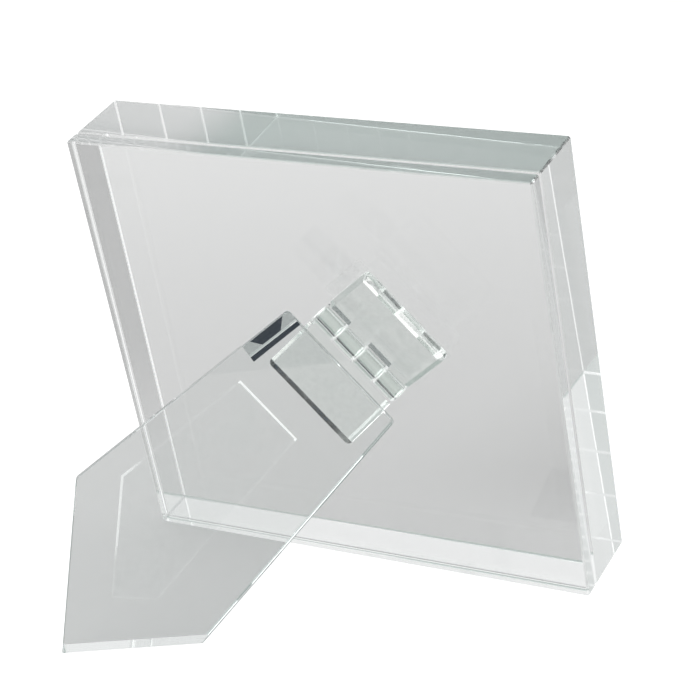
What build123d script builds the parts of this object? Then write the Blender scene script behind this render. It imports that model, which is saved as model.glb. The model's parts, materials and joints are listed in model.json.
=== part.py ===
from build123d import *
from math import cos, radians, sin, sqrt, tan
import os

# Clear acrylic block frame on a folding easel leg.
# Two polished plates, taped together along three edges, leave a pocket for a print.
# A moulded clear butt hinge on the back carries a flared leg, set across the corner at a slope.
# Every piece is drawn with the block upright and its lower back edge on the X axis,
# then the whole frame is leaned back until it stands on that edge and on the leg's foot.

# Block: two plates and the pocket between them, in millimetres
BLOCK_WIDTH = 112.0
BLOCK_HEIGHT = 104.0
FRONT_THICKNESS = 16.0
BACK_THICKNESS = 4.0
POCKET_GAP = 0.5
TAPE_WIDTH = 5.0
EDGE_BEVEL = 0.4

# Stance: how far the block leans back, and how far the leg is swung out to hold it there
LEAN_ANGLE = 17.0
OPEN_ANGLE = 47.0

# Hinge place: slope of its barrel, and its middle measured from the middle of the back
HINGE_SLOPE = 50.0
HINGE_SIDE = 11.1
HINGE_RISE = 7.9

# Hinge form: two leaves with interleaved knuckles on one pin
HINGE_LENGTH = 25.0
LEAF_REACH = 15.8
LEAF_THICKNESS = 2.6
LEAF_CORNER_RADIUS = 1.2
LEAF_BEVEL = 1.1
BARREL_RADIUS = 2.6
BARREL_CLEARANCE = 0.4
KNUCKLE_COUNT = 4
KNUCKLE_GAP = 0.2
KNUCKLE_BEVEL = 0.35
PIN_RADIUS = 1.25
PIN_RECESS = 0.8
HELD_CLEARANCE = 0.02
TURNING_CLEARANCE = 0.06

# Clear adhesive pads under the leaves
PAD_THICKNESS = 0.4
PLATE_PAD_UPPER_OVERHANG = 3.0
PLATE_PAD_LOWER_OVERHANG = 0.5
LEG_PAD_INSET = 0.8

# Leg: a flared plate, wider on its upper side, with a finger relief, a side cut and a foot cut
LEG_THICKNESS = 5.0
LEG_GAP = 2.1
LEG_UPPER_HALF_WIDTH = 17.4
LEG_LOWER_HALF_WIDTH = 14.8
LEG_UPPER_FLARE = 5.5
LEG_LOWER_FLARE = 4.9
LEG_SHOULDER = 61.95
SIDE_CUT_ANGLE = 41.4
LEG_CORNER_RADIUS = 1.0
LEG_EDGE_BEVEL = 0.3
RELIEF_DEPTH = 4.4
RELIEF_END = 17.5

# Clear film on the leg's inner face, which keeps the folded leg off the back plate
FILM_THICKNESS = 0.3
FILM_START = 22.7
FILM_UPPER_MARGIN = 5.7
FILM_CUT_MARGIN = 9.4
FILM_LOWER_MARGIN = 13.0
FILM_CUT_LENGTH = 26.1

# Values that follow from the sizes above
AXIS_HEIGHT = PAD_THICKNESS + BARREL_RADIUS
LEAF_TOP = LEAF_THICKNESS - BARREL_RADIUS
KNUCKLE_PITCH = HINGE_LENGTH / KNUCKLE_COUNT
LEAF_START = BARREL_RADIUS + BARREL_CLEARANCE
LEG_START = LEAF_START + LEG_GAP
LEG_BOTTOM = LEAF_TOP + PAD_THICKNESS
FRONT_PLANE_Y = -BACK_THICKNESS - POCKET_GAP

# The hinge's own frame on the folded leg: x along the barrel, y down the leg, z away from the block
slope = radians(HINGE_SLOPE)
hinge_place = Plane(
    origin=(-HINGE_SIDE, AXIS_HEIGHT, BLOCK_HEIGHT / 2 + HINGE_RISE),
    x_dir=(cos(slope), 0, sin(slope)),
    z_dir=(0, 1, 0),
).location
fixed_place = hinge_place * Rot(0, 0, 180)
leg_place = hinge_place * Rot(OPEN_ANGLE, 0, 0)

# Standing the upright frame: the bevel's lower line takes the place of the sharp back edge
stand = Pos(0, 0, -EDGE_BEVEL * sin(radians(LEAN_ANGLE))) * Rot(-LEAN_ANGLE, 0, 0)


def plate(thickness, back_y):
    """A polished plate with its back face at back_y and a fine bevel on every edge."""
    blank = Box(BLOCK_WIDTH, thickness, BLOCK_HEIGHT, align=(Align.CENTER, Align.MAX, Align.MIN))
    return Pos(0, back_y, 0) * chamfer(blank.edges(), EDGE_BEVEL)


def tape_upright(side):
    """A tape strip up one side of the pocket, clear of the plates' bevels."""
    strip = Box(TAPE_WIDTH, POCKET_GAP, BLOCK_HEIGHT - 2 * EDGE_BEVEL)
    offset = side * (BLOCK_WIDTH / 2 - EDGE_BEVEL - TAPE_WIDTH / 2)
    return Pos(offset, -BACK_THICKNESS - POCKET_GAP / 2, BLOCK_HEIGHT / 2) * strip


def tape_bottom():
    """The strip along the bottom, butted between the two upright strips."""
    length = BLOCK_WIDTH - 2 * (EDGE_BEVEL + TAPE_WIDTH)
    strip = Box(length, POCKET_GAP, TAPE_WIDTH)
    return Pos(0, -BACK_THICKNESS - POCKET_GAP / 2, EDGE_BEVEL + TAPE_WIDTH / 2) * strip


def knuckle_place(index):
    """The middle of one knuckle along the barrel, counted from the lower end."""
    return (index - (KNUCKLE_COUNT - 1) / 2) * KNUCKLE_PITCH


def knuckle():
    """One knuckle of the barrel, with a small bevel round both ends."""
    blank = Cylinder(BARREL_RADIUS, KNUCKLE_PITCH - KNUCKLE_GAP)
    return Rot(0, 90, 0) * chamfer(blank.edges().filter_by(GeomType.CIRCLE), KNUCKLE_BEVEL)


def leaf(own, other, bore_clearance, free_side):
    """A hinge leaf with its own knuckles on the barrel, bevelled on the side that isn't glued."""
    outline = Pos(0, LEAF_REACH / 2) * Rectangle(HINGE_LENGTH, LEAF_REACH)
    outer_corners = outline.vertices().group_by(Axis.Y)[-1]
    outline = fillet(outer_corners, LEAF_CORNER_RADIUS)
    body = Pos(0, 0, -BARREL_RADIUS) * extrude(outline, LEAF_THICKNESS)
    free_edges = body.faces().sort_by(Axis.Z, reverse=free_side < 0)[-1].edges()
    inner_edge = free_edges.sort_by(Axis.Y)[0]
    body = chamfer([edge for edge in free_edges if edge != inner_edge], LEAF_BEVEL)
    for index in other:
        notch = Box(KNUCKLE_PITCH + KNUCKLE_GAP, 2 * LEAF_START, 4 * BARREL_RADIUS)
        body -= Pos(knuckle_place(index), 0, 0) * notch
    for index in own:
        body += Pos(knuckle_place(index), 0, 0) * knuckle()
    bore = Rot(0, 90, 0) * Cylinder(PIN_RADIUS + bore_clearance, 2 * HINGE_LENGTH)
    return body - bore


def pin():
    """The hinge pin, a plain rod set a little back from both ends of the barrel."""
    return Rot(0, 90, 0) * Cylinder(PIN_RADIUS, HINGE_LENGTH - 2 * PIN_RECESS)


def plate_pad():
    """The pad between the back plate and the fixed leaf, showing past both ends of the leaf."""
    length = PLATE_PAD_UPPER_OVERHANG + HINGE_LENGTH + PLATE_PAD_LOWER_OVERHANG
    depth = LEAF_REACH - LEAF_START
    pad = Box(length, depth, PAD_THICKNESS, align=(Align.MIN, Align.MIN, Align.MAX))
    return Pos(-HINGE_LENGTH / 2 - PLATE_PAD_UPPER_OVERHANG, LEAF_START, -BARREL_RADIUS) * pad


def leg_pad():
    """The pad between the leg and its leaf, set in from the leaf's outline."""
    length = HINGE_LENGTH - 2 * LEG_PAD_INSET
    depth = LEAF_REACH - LEG_START - 2 * LEG_PAD_INSET
    pad = Box(length, depth, PAD_THICKNESS, align=(Align.CENTER, Align.MIN, Align.MIN))
    return Pos(0, LEG_START + LEG_PAD_INSET, LEAF_TOP) * pad


def leg_side(half_width, flare, distance):
    """How far one side of the flared leg lies from its middle line, at a distance down the leg."""
    return half_width + distance * tan(radians(flare))


def leg_outline(start, shoulder, upper_half_width, lower_half_width):
    """A flared outline from its start to the point where the side cut would meet the lower side."""
    upper_start = leg_side(upper_half_width, LEG_UPPER_FLARE, start)
    lower_start = -leg_side(lower_half_width, LEG_LOWER_FLARE, start)
    shoulder_side = leg_side(upper_half_width, LEG_UPPER_FLARE, shoulder)
    shoulder_width = shoulder_side + leg_side(lower_half_width, LEG_LOWER_FLARE, shoulder)
    cut_slope = tan(radians(SIDE_CUT_ANGLE))
    lower_slope = tan(radians(LEG_LOWER_FLARE))
    cut_reach = shoulder_width / (cut_slope - lower_slope)
    point = (shoulder_side - cut_reach * cut_slope, shoulder + cut_reach)
    return make_face(
        Polyline(
            (lower_start, start),
            (upper_start, start),
            (shoulder_side, shoulder),
            point,
            close=True,
        )
    )


def finger_relief():
    """What is cut off the leg's inner upper edge beside the hinge, for a finger under the folded leg."""
    side = leg_side(LEG_UPPER_HALF_WIDTH, LEG_UPPER_FLARE, RELIEF_END)
    edge = Pos(side, RELIEF_END, LEG_BOTTOM) * Rot(0, 0, -LEG_UPPER_FLARE)
    reach = 4 * LEG_THICKNESS
    cutter = Box(reach, 2 * RELIEF_END, reach, align=(Align.MIN, Align.MAX, Align.CENTER))
    return edge * Rot(0, 45, 0) * Pos(-RELIEF_DEPTH / sqrt(2), 0, 0) * cutter


def leg():
    """The leg's plate before its foot is cut, lying on the leaf's pad."""
    outline = leg_outline(LEG_START, LEG_SHOULDER, LEG_UPPER_HALF_WIDTH, LEG_LOWER_HALF_WIDTH)
    upper_corners = outline.vertices().sort_by(Axis.Y)[:3]
    outline = fillet(upper_corners, LEG_CORNER_RADIUS)
    blank = Pos(0, 0, LEG_BOTTOM) * extrude(outline, LEG_THICKNESS)
    faces = blank.faces().sort_by(Axis.Z)
    return chamfer(faces[0].edges() + faces[-1].edges(), LEG_EDGE_BEVEL) - finger_relief()


def leg_film():
    """The film on the leg's inner face, set in from its sides and ending square to the side cut."""
    upper = LEG_UPPER_HALF_WIDTH - FILM_UPPER_MARGIN / cos(radians(LEG_UPPER_FLARE))
    lower = LEG_LOWER_HALF_WIDTH - FILM_LOWER_MARGIN / cos(radians(LEG_LOWER_FLARE))
    leg_cut = leg_side(LEG_UPPER_HALF_WIDTH, LEG_UPPER_FLARE, LEG_SHOULDER)
    cut_slope = tan(radians(SIDE_CUT_ANGLE))
    cut_offset = FILM_CUT_MARGIN / cos(radians(SIDE_CUT_ANGLE))
    side_step = leg_cut - cut_offset + LEG_SHOULDER * cut_slope - upper
    shoulder = side_step / (cut_slope + tan(radians(LEG_UPPER_FLARE)))
    outline = leg_outline(FILM_START, shoulder, upper, lower)
    corner = Pos(leg_side(upper, LEG_UPPER_FLARE, shoulder), shoulder) * Rot(0, 0, SIDE_CUT_ANGLE)
    kept = Rectangle(2 * BLOCK_WIDTH, 2 * BLOCK_WIDTH, align=(Align.CENTER, Align.MAX))
    outline = outline & (corner * Pos(0, FILM_CUT_LENGTH) * kept)
    return Pos(0, 0, LEG_BOTTOM - FILM_THICKNESS) * extrude(outline, FILM_THICKNESS)


fixed_knuckles = range(0, KNUCKLE_COUNT, 2)
turning_knuckles = range(1, KNUCKLE_COUNT, 2)
mirrored_fixed = [KNUCKLE_COUNT - 1 - index for index in fixed_knuckles]
mirrored_turning = [KNUCKLE_COUNT - 1 - index for index in turning_knuckles]

pieces = {
    "front_block": plate(FRONT_THICKNESS, FRONT_PLANE_Y),
    "back_plate": plate(BACK_THICKNESS, 0),
    "tape_strip_left": tape_upright(-1),
    "tape_strip_right": tape_upright(1),
    "tape_strip_bottom": tape_bottom(),
    "plate_pad": fixed_place * plate_pad(),
    "hinge_fixed_leaf": fixed_place * leaf(mirrored_fixed, mirrored_turning, HELD_CLEARANCE, 1),
    "hinge_pin": hinge_place * pin(),
    "hinge_leg_leaf": leg_place * leaf(turning_knuckles, fixed_knuckles, TURNING_CLEARANCE, -1),
    "leg_pad": leg_place * leg_pad(),
    "leg_film": leg_place * leg_film(),
    "easel_leg": leg_place * leg(),
}
pieces = {name: stand * piece for name, piece in pieces.items()}

# The foot is cut by the table's own plane, so it lies flat when the frame stands
table_size = 10 * BLOCK_WIDTH
table = Box(table_size, table_size, table_size, align=(Align.CENTER, Align.CENTER, Align.MAX))
pieces["easel_leg"] -= table

# The origin goes to the middle of the standing frame's footprint
box = Compound([solid for piece in pieces.values() for solid in piece.solids()]).bounding_box()
centre = Pos(-box.center().X, -box.center().Y, -box.min.Z)
pieces = {name: centre * piece for name, piece in pieces.items()}

os.makedirs("parts", exist_ok=True)
for name, piece in pieces.items():
    export_step(piece, f"parts/{name}.step")

barrel = Plane(centre * stand * hinge_place)
foot = pieces["easel_leg"].faces().sort_by(Axis.Z)[0]
print("hinge middle", barrel.origin, "hinge direction", barrel.x_dir)
print("foot middle", foot.center(), "foot area", foot.area)
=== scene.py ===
import json
from math import cos, radians, sin

import bmesh
import bpy
from mathutils import Matrix, Quaternion, Vector


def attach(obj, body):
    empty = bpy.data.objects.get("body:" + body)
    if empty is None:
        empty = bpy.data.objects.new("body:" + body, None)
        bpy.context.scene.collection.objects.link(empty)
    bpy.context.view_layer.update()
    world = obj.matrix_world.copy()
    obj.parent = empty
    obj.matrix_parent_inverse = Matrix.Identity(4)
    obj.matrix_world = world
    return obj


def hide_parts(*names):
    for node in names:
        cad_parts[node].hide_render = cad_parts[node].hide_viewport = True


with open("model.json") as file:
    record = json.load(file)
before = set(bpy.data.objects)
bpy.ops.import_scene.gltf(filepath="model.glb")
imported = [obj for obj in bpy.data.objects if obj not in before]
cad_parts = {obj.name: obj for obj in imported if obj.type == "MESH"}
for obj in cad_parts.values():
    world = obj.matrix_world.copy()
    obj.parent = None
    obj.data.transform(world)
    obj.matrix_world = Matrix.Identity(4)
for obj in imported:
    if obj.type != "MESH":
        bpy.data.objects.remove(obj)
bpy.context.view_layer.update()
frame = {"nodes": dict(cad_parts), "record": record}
nodes = frame["nodes"]

# Front block and back plate: two slabs of clear cast acrylic, sawn square, with a fine bevel on
# every edge. The faces keep the sheet's own gloss and the cut edges are polished. The right side
# and the right part of the top hold a deeper tint, partly the edges' own tint and partly painted
# shade. The bevels are scraped dull and glow, which is a painted highlight. Wiping has left
# hairlines.
LEAN = radians(17)
LOWER_BACK_EDGE = Vector((0, -0.02799, -0.00012))
PLATE_HALF_WIDTH = 0.056
PLATE_HEIGHT = 0.104
HALF_HEIGHT = PLATE_HEIGHT / 2
SLAB_FACES = (0, -0.004, -0.0045, -0.0205)
POCKET_MIDDLE = -0.00425
FACE_TINT = (0.974, 0.975, 0.974, 1)
EDGE_TINT_AND_PAINTED_SHADE = (0.42, 0.52, 0.49, 1)
SLAB_VEIL = (0.91, 0.915, 0.915, 1)
BLACK = (0, 0, 0, 1)
ACRYLIC_IOR = 1.49
RIPPLE_DEPTH = 0.00001
HAIRLINE_STRETCH = (30, 900, 1500)
HAIRLINE_TURN = (0.3, 0.5, 0.2)
HAIRLINE_CUT = 0.69
HAIRLINE_ROUGHNESS = 0.025
MATT_ROUGHNESS = 0.5
PAINTED_HIGHLIGHT_GLOW = (0.4, 0.4, 0.4, 1)


class Reading:
    """A value read over a surface. Arithmetic on it adds the nodes that work it out."""

    def __init__(self, socket):
        self.socket = socket

    def node(self, kind, settings, sockets, output=0):
        """One output of a new node in the same tree, with its settings and sockets filled in."""
        tree = self.socket.id_data
        made = tree.nodes.new(kind)
        for name, value in settings.items():
            setattr(made, name, value)
        for name, value in sockets.items():
            if isinstance(value, Reading):
                tree.links.new(value.socket, made.inputs[name])
            else:
                made.inputs[name].default_value = value
        return Reading(made.outputs[output])

    def beside(self, output):
        """Another output of the node that this value comes from."""
        return Reading(self.socket.node.outputs[output])

    def feeds(self, node, name):
        self.socket.id_data.links.new(self.socket, node.inputs[name])

    def math(self, operation, *values):
        return self.node("ShaderNodeMath", {"operation": operation}, dict(enumerate(values)))

    def maximum(self, other):
        return self.math("MAXIMUM", self, other)

    def minimum(self, other):
        return self.math("MINIMUM", self, other)

    def mix(self, low, high):
        """The colour from low, where this value is 0, to high, where it is 1."""
        sockets = {0: self, 6: low, 7: high}
        return self.node("ShaderNodeMix", {"data_type": "RGBA"}, sockets, 2)

    def ramp(self, low, high, low_value=0.0, high_value=1.0):
        """A smooth step from low_value to high_value."""
        sockets = {"Value": self, 1: low, 2: high, 3: low_value, 4: high_value}
        return self.node("ShaderNodeMapRange", {"interpolation_type": "SMOOTHSTEP"}, sockets)

    def noise(self, scale, detail=1.5):
        sockets = {"Vector": self, "Scale": scale, "Detail": detail}
        return self.node("ShaderNodeTexNoise", {}, sockets)

    def axes(self):
        first = self.node("ShaderNodeSeparateXYZ", {}, {0: self})
        return [first.beside(axis) for axis in "XYZ"]

    def __abs__(self):
        return self.math("ABSOLUTE", self)

    def __add__(self, other):
        return self.math("ADD", self, other)

    def __sub__(self, other):
        return self.math("SUBTRACT", self, other)

    def __rsub__(self, other):
        return self.math("SUBTRACT", other, self)

    def __mul__(self, other):
        return self.math("MULTIPLY", self, other)

    def __gt__(self, other):
        return self.math("GREATER_THAN", self, other)

    def __lt__(self, other):
        return self.math("LESS_THAN", self, other)

    __radd__ = __add__
    __rmul__ = __mul__


def bare_surface(name):
    """A new material, its Principled shader, and the place of each point on its piece."""
    material = bpy.data.materials.new(name)
    material.use_nodes = True
    shader = material.node_tree.nodes["Principled BSDF"]
    coordinates = material.node_tree.nodes.new("ShaderNodeTexCoord")
    return material, shader, Reading(coordinates.outputs["Object"])


def seen_from(place, matrix):
    """The same place in a piece's own frame, which matrix puts into the standing frame."""
    inward = matrix.inverted()
    turn = {"Rotation": inward.to_euler("XYZ"), "Location": inward.to_translation()}
    return place.node("ShaderNodeMapping", {}, {"Vector": place, **turn})


def clear_acrylic(name, tint, veil, ripple, dull_and_glow=None):
    """Clear acrylic with a ripple, and dull where asked, with a glow there that is a painted
    highlight. Lamps pass it with a faint veil.
    """
    material, shader, place = bare_surface(name)
    hairline_run = place.node(
        "ShaderNodeMapping",
        {},
        {"Vector": place, "Scale": HAIRLINE_STRETCH, "Rotation": HAIRLINE_TURN},
    )
    hairlines = hairline_run.noise(1.0, 2.0) > HAIRLINE_CUT
    roughness = HAIRLINE_ROUGHNESS * hairlines
    if dull_and_glow:
        dull_and_glow_mask = dull_and_glow(place)
        roughness = roughness + MATT_ROUGHNESS * dull_and_glow_mask
        # Painted highlight: the dull places glow though no lamp lights them.
        dull_and_glow_mask.mix(BLACK, PAINTED_HIGHLIGHT_GLOW).feeds(shader, "Emission Color")
        shader.inputs["Emission Strength"].default_value = 1.0
    roughness.feeds(shader, "Roughness")
    bump = place.node(
        "ShaderNodeBump",
        {},
        {"Strength": 1.0, "Distance": RIPPLE_DEPTH, "Height": ripple(place)},
    )
    bump.feeds(shader, "Normal")
    tint(place).feeds(shader, "Base Color")
    shader.inputs["Transmission Weight"].default_value = 1.0
    shader.inputs["IOR"].default_value = ACRYLIC_IOR
    shadow = place.node("ShaderNodeLightPath", {}, {}, "Is Shadow Ray")
    diffuse = shadow.beside("Is Diffuse Ray")
    veiled = place.node("ShaderNodeBsdfTransparent", {}, {"Color": veil})
    clear = place.node(
        "ShaderNodeMixShader",
        {},
        {0: shadow.maximum(diffuse), 1: Reading(shader.outputs[0]), 2: veiled},
    )
    clear.feeds(material.node_tree.nodes["Material Output"], "Surface")
    return material


standing = Matrix.Translation(LOWER_BACK_EDGE) @ Matrix.Rotation(-LEAN, 4, "X")


def slab_ripple(place):
    """Faint waves in the sheet, and stronger ripples on the polished edges."""
    edge_reach = 0.0003
    edge_share = 0.3
    sheet_waves, edge_ripples = 38.0, 115.0
    upright = seen_from(place, standing)
    x, _, z = upright.axes()
    past_side = abs(x) - (PLATE_HALF_WIDTH - edge_reach)
    past_end = abs(z - HALF_HEIGHT) - (HALF_HEIGHT - edge_reach)
    edge = past_side.maximum(past_end) > 0
    return upright.noise(sheet_waves) + edge_share * edge * upright.noise(edge_ripples)


def slab_tint_and_painted_shade(place):
    """The sheet's own faint tint, and a deeper one on the right side and the right part of the
    top, partly the edges' own tint and partly painted shade.
    """
    edge_reach = 0.0002
    side_share = 0.25
    clear_from, tinted_from = 0.036, 0.016
    x, _, z = seen_from(place, standing).axes()
    # Painted shade: the right part of the top and the right side are darkened towards the edge
    # tint.
    top = (z > PLATE_HEIGHT - edge_reach) * x.ramp(clear_from, tinted_from)
    side = -1.0 * x > PLATE_HALF_WIDTH - edge_reach
    return (top + side_share * side).mix(FACE_TINT, EDGE_TINT_AND_PAINTED_SHADE)


def scraped_bevels_with_painted_highlight(place):
    """The bevels, the only points on no flat face, dull and glowing as a painted highlight. The
    block's left pair is the dullest and glows most.
    """
    face_slack = 0.00004
    end_margin = 0.0005
    faint_dull_and_glow = 0.16
    x, y, z = seen_from(place, standing).axes()
    from_end = HALF_HEIGHT - abs(z - HALF_HEIGHT)
    inset = from_end.minimum(PLATE_HALF_WIDTH - abs(x))
    for face in SLAB_FACES:
        inset = inset.minimum(abs(y - face))
    # Painted highlight: every bevel glows faintly, and the block's left pair glows fully.
    left_pair = (x > 0) * (y < POCKET_MIDDLE) * (from_end > end_margin)
    return (inset > face_slack) * left_pair.maximum(faint_dull_and_glow)


slab_acrylic = clear_acrylic("slab_acrylic", slab_tint_and_painted_shade, SLAB_VEIL, slab_ripple, scraped_bevels_with_painted_highlight)
for name in ("front_block", "back_plate"):
    nodes[name].material_slots[0].material = slab_acrylic

# Tape strips: clear double-sided tape in the pocket, one strip up each side and one along the
# bottom, butted between them. It is laid by hand and rolled down, so it wets the acrylic unevenly.
TAPE_WIDTH = 0.005
TAPE_THICKNESS = 0.00044
TAPE_RISE = 0.0004
RUN_WIDTH = 0.1112
RUN_HEIGHT = 0.1032
TAPE_CLOUDS = 130.0
TAPE_HAZE = (0.004, 0.016)
TAPE_ROUGHNESS = (0.25, 0.6)
TAPE_TINT = (0.90, 0.92, 0.92, 1)

tape_material, tape_shader, place = bare_surface("tape_clear")
cloud = place.noise(TAPE_CLOUDS, 2.0)
cloud.ramp(0.42, 0.70, *TAPE_HAZE).feeds(tape_shader, "Alpha")
cloud.ramp(0.30, 0.70, *TAPE_ROUGHNESS).feeds(tape_shader, "Roughness")
tape_shader.inputs["Base Color"].default_value = TAPE_TINT
tape_shader.inputs["Specular IOR Level"].default_value = 0.1

tape_tree = bpy.data.node_groups.new("tape_run", "GeometryNodeTree")


def sizes_of(tree, sizes):
    """Adds named inputs to a tree, and gives their identifiers and values by name."""
    identifiers = {}
    for name, kind in sizes.items():
        socket = tree.interface.new_socket(name, in_out="INPUT", socket_type=kind)
        identifiers[name] = socket.identifier
    tree.interface.new_socket("Geometry", in_out="OUTPUT", socket_type="NodeSocketGeometry")
    group = tree.nodes.new("NodeGroupInput")
    return identifiers, {name: Reading(group.outputs[name]) for name in sizes}


def vector(start, x, y, z):
    """A vector from three values, in the same tree as start."""
    return start.node("ShaderNodeCombineXYZ", {}, {"X": x, "Y": y, "Z": z})


def piece_from(tree, name, last, values, identifiers, finish):
    """A plain mesh piece from a tree that ends in this geometry, with a finish on it."""
    real = last.node("GeometryNodeRealizeInstances", {}, {"Geometry": last})
    dressed = real.node("GeometryNodeSetMaterial", {}, {"Geometry": real, "Material": finish})
    dressed.feeds(tree.nodes.new("NodeGroupOutput"), "Geometry")
    maker = bpy.data.objects.new(name + "_maker", bpy.data.meshes.new(name + "_maker"))
    bpy.context.scene.collection.objects.link(maker)
    modifier = maker.modifiers.new("made", "NODES")
    modifier.node_group = tree
    for key, value in values.items():
        modifier[identifiers[key]] = value
    settled = maker.evaluated_get(bpy.context.evaluated_depsgraph_get())
    mesh = bpy.data.meshes.new_from_object(settled)
    maker.modifiers.remove(modifier)
    bpy.data.objects.remove(maker)
    mesh.name = name
    piece = bpy.data.objects.new(name, mesh)
    bpy.context.scene.collection.objects.link(piece)
    return piece


tape_inputs, size = sizes_of(
    tape_tree,
    {
        "Run Width": "NodeSocketFloat",
        "Run Height": "NodeSocketFloat",
        "Tape Width": "NodeSocketFloat",
        "Tape Thickness": "NodeSocketFloat",
        "Lean": "NodeSocketFloat",
        "Place": "NodeSocketVector",
    },
)
gauge = size["Tape Thickness"]
spread = size["Run Width"] - size["Tape Width"]
upright_size = vector(gauge, size["Tape Width"], gauge, size["Run Height"])
upright_strip = gauge.node("GeometryNodeMeshCube", {}, {"Size": upright_size})
sides = gauge.node(
    "GeometryNodeMeshLine",
    {},
    {
        "Count": 2,
        "Start Location": vector(gauge, -0.5 * spread, 0.0, 0.5 * size["Run Height"]),
        "Offset": vector(gauge, spread, 0.0, 0.0),
    },
)
uprights = sides.node(
    "GeometryNodeInstanceOnPoints", {}, {"Points": sides, "Instance": upright_strip}
)
bottom_length = spread - size["Tape Width"] - gauge
bottom_size = vector(gauge, bottom_length, gauge, size["Tape Width"])
bottom_strip = gauge.node("GeometryNodeMeshCube", {}, {"Size": bottom_size})
bottom_run = bottom_strip.node(
    "GeometryNodeTransform",
    {},
    {"Geometry": bottom_strip, "Translation": vector(gauge, 0.0, 0.0, 0.5 * size["Tape Width"])},
)
strips = uprights.node("GeometryNodeJoinGeometry", {}, {"Geometry": uprights})
bottom_run.feeds(strips.socket.node, "Geometry")
leaned = strips.node(
    "GeometryNodeTransform",
    {},
    {
        "Geometry": strips,
        "Translation": size["Place"],
        "Rotation": vector(gauge, -1.0 * size["Lean"], 0.0, 0.0),
    },
)
tape = piece_from(
    tape_tree,
    "tape_run",
    leaned,
    {
        "Run Width": RUN_WIDTH,
        "Run Height": RUN_HEIGHT,
        "Tape Width": TAPE_WIDTH,
        "Tape Thickness": TAPE_THICKNESS,
        "Lean": LEAN,
        "Place": standing @ Vector((0, POCKET_MIDDLE, TAPE_RISE)),
    },
    tape_inputs,
    tape_material,
)
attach(tape, "frame")
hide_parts("tape_strip_left", "tape_strip_right", "tape_strip_bottom")

# Pads: clear adhesive film, cut to size, under the hinge's fixed leaf and between the leg and its
# own leaf. The film grips by pressure, with faint clouds where it hasn't wetted the acrylic.
THIN_GAP = 0.00003
PAD_CLOUDS = 300.0
PAD_HAZE = (0.03, 0.14)
PAD_ROUGHNESS = (0.2, 0.5)
PAD_TINT = (0.93, 0.94, 0.93, 1)

pad_material, pad_shader, place = bare_surface("pad_adhesive")
cloud = place.noise(PAD_CLOUDS, 3.0)
cloud.ramp(0.40, 0.72, *PAD_HAZE).feeds(pad_shader, "Alpha")
cloud.ramp(0.30, 0.70, *PAD_ROUGHNESS).feeds(pad_shader, "Roughness")
pad_shader.inputs["Base Color"].default_value = PAD_TINT
pad_shader.inputs["Specular IOR Level"].default_value = 0.15


def thinned(name):
    """A merged copy of a thin layer, drawn in by a hair so that it touches nothing."""
    same_point = 1e-6
    same_plane = 0.01
    same_way = 0.99
    form = bmesh.new()
    form.from_mesh(nodes[name].data)
    bmesh.ops.remove_doubles(form, verts=form.verts, dist=same_point)
    bmesh.ops.dissolve_limit(form, angle_limit=same_plane, verts=form.verts, edges=form.edges)
    form.normal_update()
    shifts = []
    for vertex in form.verts:
        normals = []
        for face in vertex.link_faces:
            if all(face.normal.dot(other) < same_way for other in normals):
                normals.append(face.normal.copy())
        shifts.append(THIN_GAP * sum(normals, Vector()))
    for vertex, shift in zip(form.verts, shifts):
        vertex.co -= shift
    return form


def layer(form, name, body, slot, *finishes):
    """A thin layer's piece, which stands for its node."""
    mesh = bpy.data.meshes.new(name + "_layer")
    form.to_mesh(mesh)
    form.free()
    for finish in finishes:
        mesh.materials.append(finish)
    piece = bpy.data.objects.new(name + "_layer", mesh)
    bpy.context.scene.collection.objects.link(piece)
    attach(piece, body)
    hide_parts(name)


layer(thinned("plate_pad"), "plate_pad", "frame", "adhesive_pad", pad_material)
layer(thinned("leg_pad"), "leg_pad", "leg", "adhesive_pad", pad_material)

# Hinge: two leaves, injection moulded with bevelled rims and interleaved knuckles, on a plain rod
# pressed into the fixed leaf. All three are clear plastic with a grey-green cast, dulled where
# the knuckles rub and where adhesive has crept up the fixed leaf's outer rim; those dulled places
# also glow as a painted highlight. The turning leaf's outer rim carries a painted dark reflection.
KNUCKLE_PITCH = 0.00625
BARREL_RADIUS = 0.0026
RIM_BEVEL = 0.001
OPEN_ANGLE = radians(47)
HINGE_TINT = (0.920, 0.945, 0.930, 1)
PAINTED_DARK_RIM = (0.0004, 0.0012, 0.003, 1)
HINGE_VEIL = (0.95, 0.96, 0.955, 1)

joint = frame["record"]["behaviour"]["joints"][0]
along = Vector(joint["axis"])
outward = Vector((0, cos(LEAN), -sin(LEAN)))
down = outward.cross(along)
hinge_turn = Matrix((along, down, outward)).transposed().to_4x4()
hinge_place = Matrix.Translation(Vector(joint["pos_m"])) @ hinge_turn
leg_place = hinge_place @ Matrix.Rotation(OPEN_ANGLE, 4, "X")


def reach(name, place, axis):
    """The lowest and highest place of a node's corners along one axis of a frame."""
    inward = place.inverted()
    places = [(inward @ corner.co)[axis] for corner in nodes[name].data.vertices]
    return min(places), max(places)


fixed_leaf_end = reach("hinge_fixed_leaf", hinge_place, 1)[0]
leg_leaf_end = reach("hinge_leg_leaf", leg_place, 1)[1]


def moulded_ripple(place):
    """Flow waves that the melt leaves in the leaves, and a fine orange peel."""
    flow_waves, orange_peel = 140.0, 900.0
    return 1.2 * place.noise(flow_waves) + 0.1 * place.noise(orange_peel)


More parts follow.
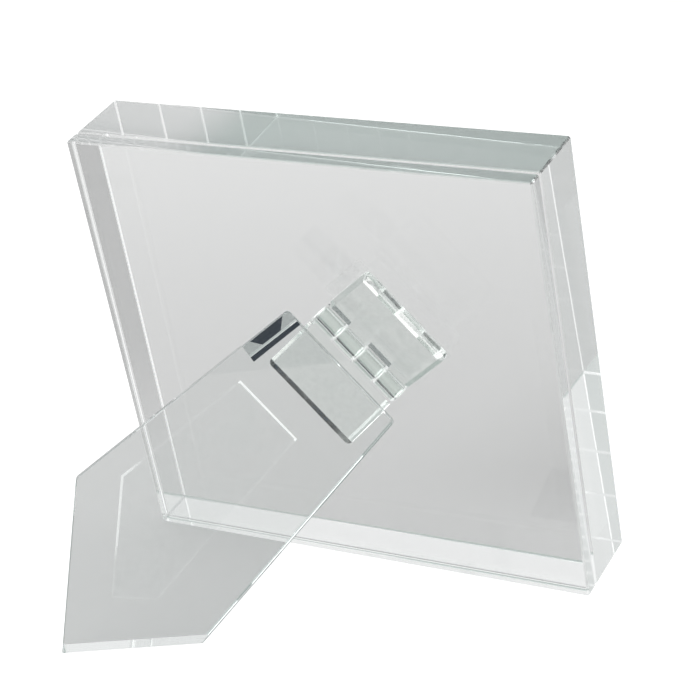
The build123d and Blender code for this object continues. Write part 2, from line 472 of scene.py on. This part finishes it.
def dulled_rims_with_painted_highlight(place):
    """The knuckles' end rims, which rub each other dull, and the fixed leaf's glued rim. Both also
    glow, which is a painted highlight.
    """
    rub_width = 0.00035
    rub_share = 0.35
    glue_clouds = 420.0
    glue_share = (0.10, 0.26)
    barrel_reach = 1.03 * BARREL_RADIUS
    x, y, z = seen_from(place, hinge_place).axes()
    from_joint = x.math("PINGPONG", x, KNUCKLE_PITCH / 2)
    on_barrel = y * y + z * z < barrel_reach**2
    # Painted highlight: the rubbed knuckle rims and the glued rim glow as well as dulling.
    rubbed_and_glowing = rub_share * (from_joint < rub_width) * on_barrel
    glue_and_glow = place.noise(glue_clouds).ramp(0.38, 0.58, *glue_share)
    return rubbed_and_glowing.maximum((y < fixed_leaf_end + RIM_BEVEL) * glue_and_glow)


def hinge_tint_and_painted_dark_rim(place):
    """The melt's grey-green cast, and a painted dark reflection: a dark line on the turning leaf's
    outer rim, paler towards one end.
    """
    rim_streaks = 330.0
    pale_end, dark_from = -0.0125, -0.007
    across, run, _ = seen_from(place, leg_place).axes()
    outer_rim = run > leg_leaf_end - RIM_BEVEL
    streaks = place.noise(rim_streaks).ramp(0.3, 0.5, 0.98, 1.0)
    paler_end = across.ramp(pale_end, dark_from, 0.88, 1.0)
    # Painted reflection: a nearly black line along the turning leaf's outer rim.
    return (outer_rim * (streaks * paler_end)).mix(HINGE_TINT, PAINTED_DARK_RIM)


hinge_clear = clear_acrylic("hinge_clear", hinge_tint_and_painted_dark_rim, HINGE_VEIL, moulded_ripple, dulled_rims_with_painted_highlight)
for name in ("hinge_fixed_leaf", "hinge_leg_leaf", "hinge_pin"):
    nodes[name].material_slots[0].material = hinge_clear

# Easel leg: a flared plate of acrylic sheet, cut with a finger relief beside the hinge, a side
# cut and a level foot. It is stuck to its leaf, and its cut sides hold a deeper tint.
LEG_TINT = (0.875, 0.888, 0.886, 1)
LEG_CUT_TINT = (0.45, 0.50, 0.49, 1)
LEG_VEIL = (0.94, 0.945, 0.945, 1)
LEG_WAVES = 45.0
leg_low, leg_high = reach("easel_leg", leg_place, 2)


def leg_ripple(place):
    """Faint waves in the sheet."""
    return seen_from(place, leg_place).noise(LEG_WAVES)


def leg_tint(place):
    """The sheet's tint, deeper on the cut sides, which lie between the two faces."""
    face_slack = 0.0001
    height = seen_from(place, leg_place).axes()[2]
    inset = (height - leg_low).minimum(leg_high - height)
    return (inset > face_slack).mix(LEG_TINT, LEG_CUT_TINT)


leg_acrylic = clear_acrylic("leg_acrylic", leg_tint, LEG_VEIL, leg_ripple)
nodes["easel_leg"].material_slots[0].material = leg_acrylic

# Leg film: a thin clear sheet on the leg's inner face, set in from its sides. Its cut rim has
# turned white where it lifts, most of all along the end by the hinge, and glows there, which is a
# painted highlight.
FILM_START = 0.0227
RIM_WIDTH = 0.0006
LIFT_END = 0.0008
SIDE_LIFT_ACROSS = (0.004, 0.008)
SIDE_LIFT_RUN = (0.048, 0.054)
FLAT_AREA = 0.0001
FILM_CLOUDS = 160.0
FILM_HAZE = (0.02, 0.07)
FILM_ROUGHNESS = (0.05, 0.2)
FILM_TINT = (0.80, 0.84, 0.83, 1)
RIM_GRAIN = 1800.0
RIM_ROUGHNESS = (0.3, 0.6)
RIM_TINT = (0.95, 0.96, 0.95, 1)
END_WHITE, FLAT_WHITE, SIDE_WHITE = 0.95, 0.04, 0.35
RIM_PAINTED_GLOW = 0.4
WHITE = (1, 1, 1, 1)

film_material, film_shader, place = bare_surface("film_clear")
haze = place.noise(FILM_CLOUDS, 3.0)
haze.ramp(0.35, 0.75, *FILM_HAZE).feeds(film_shader, "Alpha")
haze.ramp(0.30, 0.70, *FILM_ROUGHNESS).feeds(film_shader, "Roughness")
film_shader.inputs["Base Color"].default_value = FILM_TINT

rim_material, rim_shader, place = bare_surface("film_rim")
across, run, _ = seen_from(place, leg_place).axes()
end_lift = run.ramp(FILM_START + RIM_WIDTH, FILM_START + LIFT_END, END_WHITE, FLAT_WHITE)
side_lift = across.ramp(*SIDE_LIFT_ACROSS) * run.ramp(*SIDE_LIFT_RUN, 0.0, SIDE_WHITE)
grain = place.noise(RIM_GRAIN, 2.0)
whitening_and_glow = end_lift.maximum(side_lift) * grain.ramp(0.2, 0.5, 0.8, 1.0)
whitening_and_glow.feeds(rim_shader, "Alpha")
grain.ramp(0.3, 0.7, *RIM_ROUGHNESS).feeds(rim_shader, "Roughness")
rim_shader.inputs["Base Color"].default_value = RIM_TINT
# Painted highlight: the whitened rim glows though no lamp lights it.
rim_shader.inputs["Emission Color"].default_value = WHITE
rim_shader.inputs["Emission Strength"].default_value = RIM_PAINTED_GLOW

film_form = thinned("leg_film")
flat_faces = [face for face in film_form.faces if face.calc_area() > FLAT_AREA]
bmesh.ops.inset_individual(film_form, faces=flat_faces, thickness=RIM_WIDTH)
for face in film_form.faces:
    face.material_index = 1
for face in flat_faces:
    face.material_index = 0
layer(film_form, "leg_film", "leg", "clear_film", film_material, rim_material)

# Stage: a pale paper floor, a soft sky, one large soft lamp and the cards that give clear plastic
# its light and dark lines, with the camera at the photograph's viewing angle.
LIGHT_BOUNCES = 40
FLOOR_HALF = 0.9
FLOOR_LEVEL = -0.00005
PAPER_FIBRE = 250.0
PAPER_DARK = (0.66, 0.655, 0.655, 1)
PAPER_PALE = (0.70, 0.695, 0.695, 1)
SEEN_LIFT = 0.56
NEAR_FLOOR, FAR_FLOOR, FAR_LIFT = 0.08, 0.6, 0.17
PAINTED_SHADOW_SHARE = 0.2
SKY_LOW = (0.42, 0.48, 0.46, 1)
SKY_HIGH = (0.92, 0.93, 0.93, 1)
CORNERS = ((-1, -1), (1, -1), (1, 1), (-1, 1))

scene = bpy.context.scene
scene.view_settings.view_transform = "Standard"
scene.cycles.max_bounces = LIGHT_BOUNCES
scene.cycles.transmission_bounces = LIGHT_BOUNCES
scene.cycles.glossy_bounces = LIGHT_BOUNCES
scene.cycles.transparent_max_bounces = LIGHT_BOUNCES


def stage_sheet(name, corners):
    """A flat sheet that is no part of the object."""
    mesh = bpy.data.meshes.new(name)
    mesh.from_pydata(corners, [], [(0, 1, 2, 3)])
    made = bpy.data.objects.new(name, mesh)
    scene.collection.objects.link(made)
    return made


floor_corners = [(x * FLOOR_HALF, y * FLOOR_HALF, FLOOR_LEVEL) for x, y in CORNERS]
floor = stage_sheet("floor", floor_corners)
floor_material, floor_shader, place = bare_surface("floor_paper")
seen = place.node("ShaderNodeLightPath", {}, {}, "Is Camera Ray")
mirrored = seen.beside("Is Glossy Ray")
through = seen.beside("Is Transmission Ray")
x, y, _ = place.axes()
distance = place.node("ShaderNodeVectorMath", {"operation": "LENGTH"}, {0: place}, "Value")
# Painted shadow: the floor seen through or in the plastic is darker on one side of the object and
# nearer to it.
painted_shadow_side = x.ramp(0.04, -0.05) * y.ramp(-0.07, -0.12)
painted_falloff = distance.ramp(NEAR_FLOOR, FAR_FLOOR, 0.0, FAR_LIFT) * (1 - painted_shadow_side)
lift = SEEN_LIFT * seen + painted_falloff * mirrored.maximum(through)
glow = place.node("ShaderNodeEmission", {}, {"Color": lift.mix(BLACK, WHITE), "Strength": 1.0})
paper = place.noise(PAPER_FIBRE, 4.0).mix(PAPER_DARK, PAPER_PALE)
(PAINTED_SHADOW_SHARE * painted_shadow_side * through).mix(paper, BLACK).feeds(floor_shader, "Base Color")
floor_shader.inputs["Roughness"].default_value = 1.0
floor_shader.inputs["Specular IOR Level"].default_value = 0.0
lit = place.node("ShaderNodeAddShader", {}, {0: Reading(floor_shader.outputs[0]), 1: glow})
lit.feeds(floor_material.node_tree.nodes["Material Output"], "Surface")
floor.data.materials.append(floor_material)

world = bpy.data.worlds.new("studio")
scene.world = world
world.use_nodes = True
seen = Reading(world.node_tree.nodes.new("ShaderNodeLightPath").outputs["Is Camera Ray"])
height = seen.node("ShaderNodeTexCoord", {}, {}, "Generated").axes()[2]
sky = height.ramp(0.03, 0.5).mix(SKY_LOW, SKY_HIGH)
seen.mix(sky, WHITE).feeds(world.node_tree.nodes["Background"], "Color")


def facing(place, aim):
    """The turn that points a lamp or a card from its place to an aim."""
    return (Vector(aim) - Vector(place)).to_track_quat("-Z", "Y")


lamp = bpy.data.lights.new("key", "AREA")
lamp.shape = "RECTANGLE"
lamp.size = lamp.size_y = 0.6
lamp.energy = 2.0
key = bpy.data.objects.new("key", lamp)
key.location = (0.5, 0.5, 0.9)
key.rotation_euler = facing(key.location, (0, 0, 0.05)).to_euler()
scene.collection.objects.link(key)


def card(name, place, aim, size, colour, depths):
    """A card beside the set, which shows only through this many surfaces of clear plastic."""
    turn = facing(place, aim)
    half_width, half_height = size[0] / 2, size[1] / 2
    flat = [Vector((x * half_width, y * half_height, 0)) for x, y in CORNERS]
    made = stage_sheet(name, [Vector(place) + turn @ corner for corner in flat])
    material, _, start = bare_surface(name)
    depth = start.node("ShaderNodeLightPath", {}, {}, "Transmission Depth")
    within = (depth > depths[0] - 0.5) * (depth < depths[1] + 0.5)
    shade = start.node("ShaderNodeEmission", {}, {"Color": colour, "Strength": 1.0})
    air = start.node("ShaderNodeBsdfTransparent", {}, {})
    shown = start.node("ShaderNodeMixShader", {}, {0: within, 1: air, 2: shade})
    shown.feeds(material.node_tree.nodes["Material Output"], "Surface")
    made.data.materials.append(material)
    made.visible_camera = False
    made.visible_diffuse = False
    made.visible_shadow = False


card(
    "dark_flag",
    place=(-0.60, -0.04, 0.44),
    aim=(0, 0, 0.06),
    size=(1.0, 0.44),
    colour=(0.13, 0.15, 0.16, 1),
    depths=(5, 12),
)
card(
    "low_flag",
    place=(-0.042, -0.006, 0.0004),
    aim=(-0.042, -0.006, 0.1),
    size=(0.015, 0.014),
    colour=(0.012, 0.022, 0.04, 1),
    depths=(1, 2),
)
card(
    "white_card",
    place=(-0.62, 0.62, 0.12),
    aim=(0, 0, 0.06),
    size=(0.5, 0.24),
    colour=(1.1, 1.1, 1.08, 1),
    depths=(0, LIGHT_BOUNCES),
)

ROLL = radians(-1.436)
VIEW_LINE = Vector((0.46412, -0.83897, -0.28412))
camera = bpy.data.objects.new("camera", bpy.data.cameras.new("camera"))
camera.data.lens = 118.32
camera.data.sensor_width = 36.0
camera.data.clip_start = 0.01
camera.location = (-0.23901, 0.4089275, 0.19762)
camera.rotation_mode = "QUATERNION"
level_view = VIEW_LINE.to_track_quat("-Z", "Y")
camera.rotation_quaternion = level_view @ Quaternion((0, 0, 1), ROLL)
scene.collection.objects.link(camera)
scene.camera = camera
